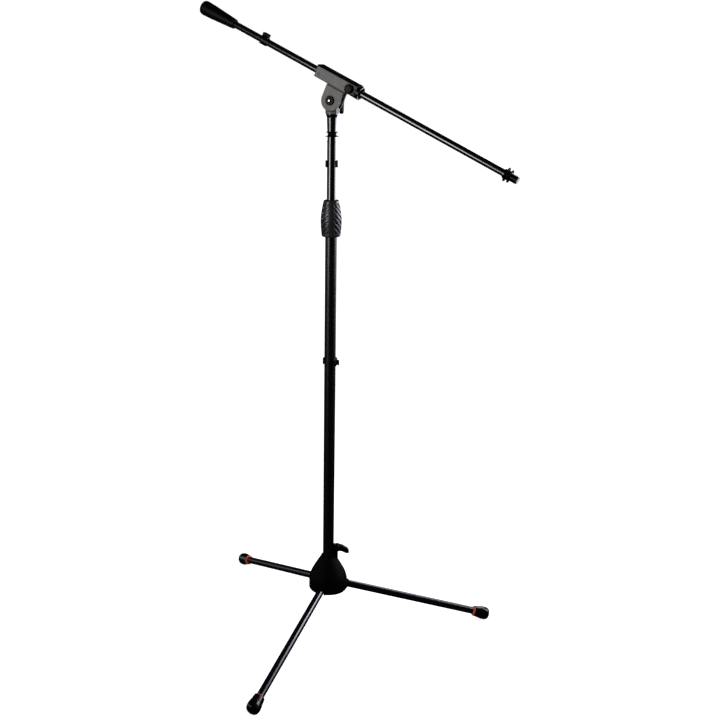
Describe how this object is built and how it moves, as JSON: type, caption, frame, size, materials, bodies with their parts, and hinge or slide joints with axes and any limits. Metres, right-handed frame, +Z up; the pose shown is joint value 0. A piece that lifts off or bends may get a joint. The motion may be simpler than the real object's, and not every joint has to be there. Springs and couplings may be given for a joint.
{
  "type": "boom microphone stand",
  "caption": "Black tripod microphone stand with a telescoping mast, twist clutch, tilting boom with counterweight, and a threaded stud at the boom's tip.",
  "frame": {"origin": "on the floor, on the axis of the mast", "axes": "+Z up the mast, +X the horizontal direction of the boom's microphone end, Y along the tilt pivot"},
  "size_m": [0.7613, 0.6219, 1.3993],
  "materials": {
    "tube_paint": "satin black powder coat",
    "boom_paint": "gloss black",
    "leg_paint": "satin black powder coat",
    "cast_grey": "satin warm grey cast metal",
    "cast_black": "matte black cast metal",
    "black_plastic": "fine moulded grain",
    "nylon_black": "smooth moulded nylon",
    "rubber_black": "matte",
    "trim_orange": "satin orange red",
    "steel": "turned",
    "iron": "as cast",
    "brass": "turned",
    "fibre": "pressed fibre"
  },
  "bodies": {
    "mast": {"lower_tube": "tube_paint", "leg_stop_plate": "cast_black", "clutch_body": "nylon_black", "clutch_collet": "nylon_black"},
    "clutch": {"clutch_nut": "black_plastic", "clutch_grip": "rubber_black"},
    "guide_bush": {"mast_guide_bush": "nylon_black"},
    "upper_mast": {"upper_tube": "boom_paint", "upper_tube_end_plug": "black_plastic", "top_stud": "boom_paint", "swivel_socket": "boom_paint", "swivel_base": "cast_grey"},
    "stud_ring": {"stud_lock_ring": "boom_paint"},
    "boom_head": {"boom_bracket": "cast_grey", "boom_liner": "nylon_black", "boom_end_ring": "steel", "sleeve_retainer": "nylon_black", "friction_washers": "fibre", "pivot_bolt": "steel", "pivot_cap": "black_plastic"},
    "boom_lock": {"boom_lock_knob": "black_plastic", "boom_lock_screw": "steel"},
    "handle": {"tilt_handle": "black_plastic", "handle_insert": "brass"},
    "sleeve": {"boom_sleeve": "nylon_black"},
    "boom": {"boom_tube": "boom_paint", "counterweight_core": "iron", "counterweight_cover": "rubber_black", "boom_tip_stud": "boom_paint"},
    "tip_ring": {"tip_lock_ring": "cast_black"},
    "boom_clip": {"boom_cable_clip": "black_plastic"},
    "upper_clip": {"upper_cable_clip": "black_plastic"},
    "lower_clip": {"lower_cable_clip": "black_plastic"},
    "housing": {"leg_housing": "cast_black", "brake_pad": "nylon_black", "leg_pins": "steel"},
    "lever": {"base_lever": "black_plastic", "base_lever_screw": "steel"},
    "leg_right": {"leg_knuckle_right": "cast_black", "leg_tube_right": "leg_paint", "leg_foot_right": "rubber_black", "leg_ring_right": "trim_orange"},
    "leg_left": {"leg_knuckle_left": "cast_black", "leg_tube_left": "leg_paint", "leg_foot_left": "rubber_black", "leg_ring_left": "trim_orange"},
    "leg_front": {"leg_knuckle_front": "cast_black", "leg_tube_front": "leg_paint", "leg_foot_front": "rubber_black", "leg_ring_front": "trim_orange"}
  },
  "joints": [
    {"name": "housing_slide", "type": "slide", "parent": "mast", "child": "housing", "axis": [0, 0, 1], "range_m": [0, 0.385]},
    {"name": "leg_fold_right", "type": "hinge", "parent": "housing", "child": "leg_right", "pos_m": [0.02165, 0.01614, 0.11161], "axis": [-0.5976, 0.8018, 0], "range_deg": [0, 73.5]},
    {"name": "leg_fold_left", "type": "hinge", "parent": "housing", "child": "leg_left", "pos_m": [-0.0248, 0.01068, 0.11161], "axis": [-0.3955, -0.9184, 0], "range_deg": [0, 73.5]},
    {"name": "leg_fold_front", "type": "hinge", "parent": "housing", "child": "leg_front", "pos_m": [0.00315, -0.02682, 0.11161], "axis": [0.9932, 0.1167, 0], "range_deg": [0, 73.5]},
    {"name": "base_lever_turn", "type": "hinge", "parent": "housing", "child": "lever", "pos_m": [0.01696, 0.0106, 0.1995], "axis": [0.848, 0.5299, 0], "range_deg": [0, 360]},
    {"name": "clutch_twist", "type": "hinge", "parent": "mast", "child": "clutch", "pos_m": [0, 0, 0.952], "axis": [0, 0, 1], "range_deg": [0, 90]},
    {"name": "height_slide", "type": "slide", "parent": "mast", "child": "guide_bush", "axis": [0, 0, 1], "range_m": [-0.064, 0.42]},
    {"name": "mast_turn", "type": "hinge", "parent": "guide_bush", "child": "upper_mast", "pos_m": [0, 0, 0.417], "axis": [0, 0, 1], "continuous": true},
    {"name": "stud_ring_turn", "type": "hinge", "parent": "upper_mast", "child": "stud_ring", "pos_m": [0, 0, 1.1288], "axis": [0, 0, 1], "continuous": true},
    {"name": "boom_tilt", "type": "hinge", "parent": "upper_mast", "child": "boom_head", "pos_m": [0, 0, 1.1959], "axis": [0, 1, 0], "range_deg": [-114.5, 65]},
    {"name": "tilt_handle_turn", "type": "hinge", "parent": "boom_head", "child": "handle", "pos_m": [0, 0.04, 1.1959], "axis": [0, 1, 0], "range_deg": [0, 360]},
    {"name": "boom_lock_turn", "type": "hinge", "parent": "boom_head", "child": "boom_lock", "pos_m": [0.04598, -0.016, 1.21844], "axis": [0, -1, 0], "range_deg": [0, 360]},
    {"name": "boom_roll", "type": "hinge", "parent": "boom_head", "child": "sleeve", "pos_m": [0.01545, 0, 1.23247], "axis": [0.9087, 0, -0.4175], "continuous": true},
    {"name": "boom_slide", "type": "slide", "parent": "sleeve", "child": "boom", "axis": [0.9087, 0, -0.4175], "range_m": [-0.3, 0.12]},
    {"name": "tip_ring_turn", "type": "hinge", "parent": "boom", "child": "tip_ring", "pos_m": [0.38218, 0, 1.06395], "axis": [0.9087, 0, -0.4175], "continuous": true},
    {"name": "boom_clip_slide", "type": "slide", "parent": "boom", "child": "boom_clip", "axis": [-0.9087, 0, 0.4175], "range_m": [0, 0.06]},
    {"name": "upper_clip_slide", "type": "slide", "parent": "upper_mast", "child": "upper_clip", "axis": [0, 0, 1], "range_m": [0, 0.03]},
    {"name": "lower_clip_slide", "type": "slide", "parent": "mast", "child": "lower_clip", "axis": [0, 0, 1], "range_m": [-0.034, 0.24]}
  ],
  "couplings": [
    {"joint": "leg_fold_right", "follows": "housing_slide", "rad_per_m": 3.309},
    {"joint": "leg_fold_left", "follows": "housing_slide", "rad_per_m": 3.309},
    {"joint": "leg_fold_front", "follows": "housing_slide", "rad_per_m": 3.309}
  ]
}
